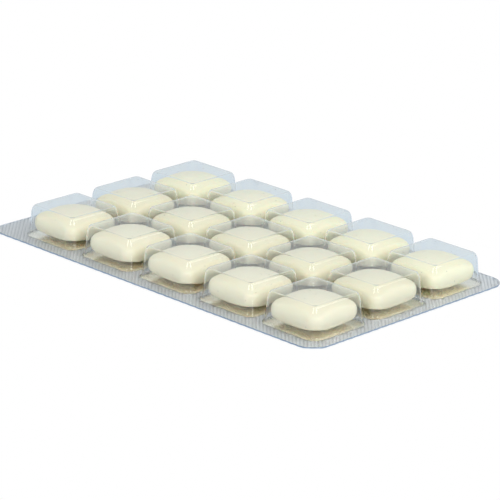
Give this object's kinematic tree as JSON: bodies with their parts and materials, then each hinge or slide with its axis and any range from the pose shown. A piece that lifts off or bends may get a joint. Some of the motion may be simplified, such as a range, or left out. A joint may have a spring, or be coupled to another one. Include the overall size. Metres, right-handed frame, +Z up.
{
  "type": "gum blister pack",
  "caption": "Flat blister strip: a clear formed film with square pockets, a pillow-shaped gum sealed in each, and an aluminium foil lid underneath.",
  "frame": {"origin": "middle of the sheet's outline, on the underside of the foil", "axes": "+X along the length of the strip, away from its wide margin; +Y across it, away from row a; +Z up, towards the pocket roofs"},
  "size_m": [0.1066, 0.0634, 0.0076],
  "materials": {
    "film": "clear formed film with a fine diamond knurl over the sealed flange",
    "foil": "thin bright foil with a fine diamond knurl where it is sealed, smooth under the pockets",
    "gum": "pale cream sugar-free coating with a satin sheen"
  },
  "bodies": {
    "root": {"blister_film": "film", "lidding_foil": "foil", "gum_a1": "gum", "gum_a2": "gum", "gum_a3": "gum", "gum_a4": "gum", "gum_a5": "gum", "gum_b1": "gum", "gum_b2": "gum", "gum_b3": "gum", "gum_b4": "gum", "gum_b5": "gum", "gum_c1": "gum", "gum_c2": "gum", "gum_c3": "gum", "gum_c4": "gum", "gum_c5": "gum"}
  },
  "joints": []
}
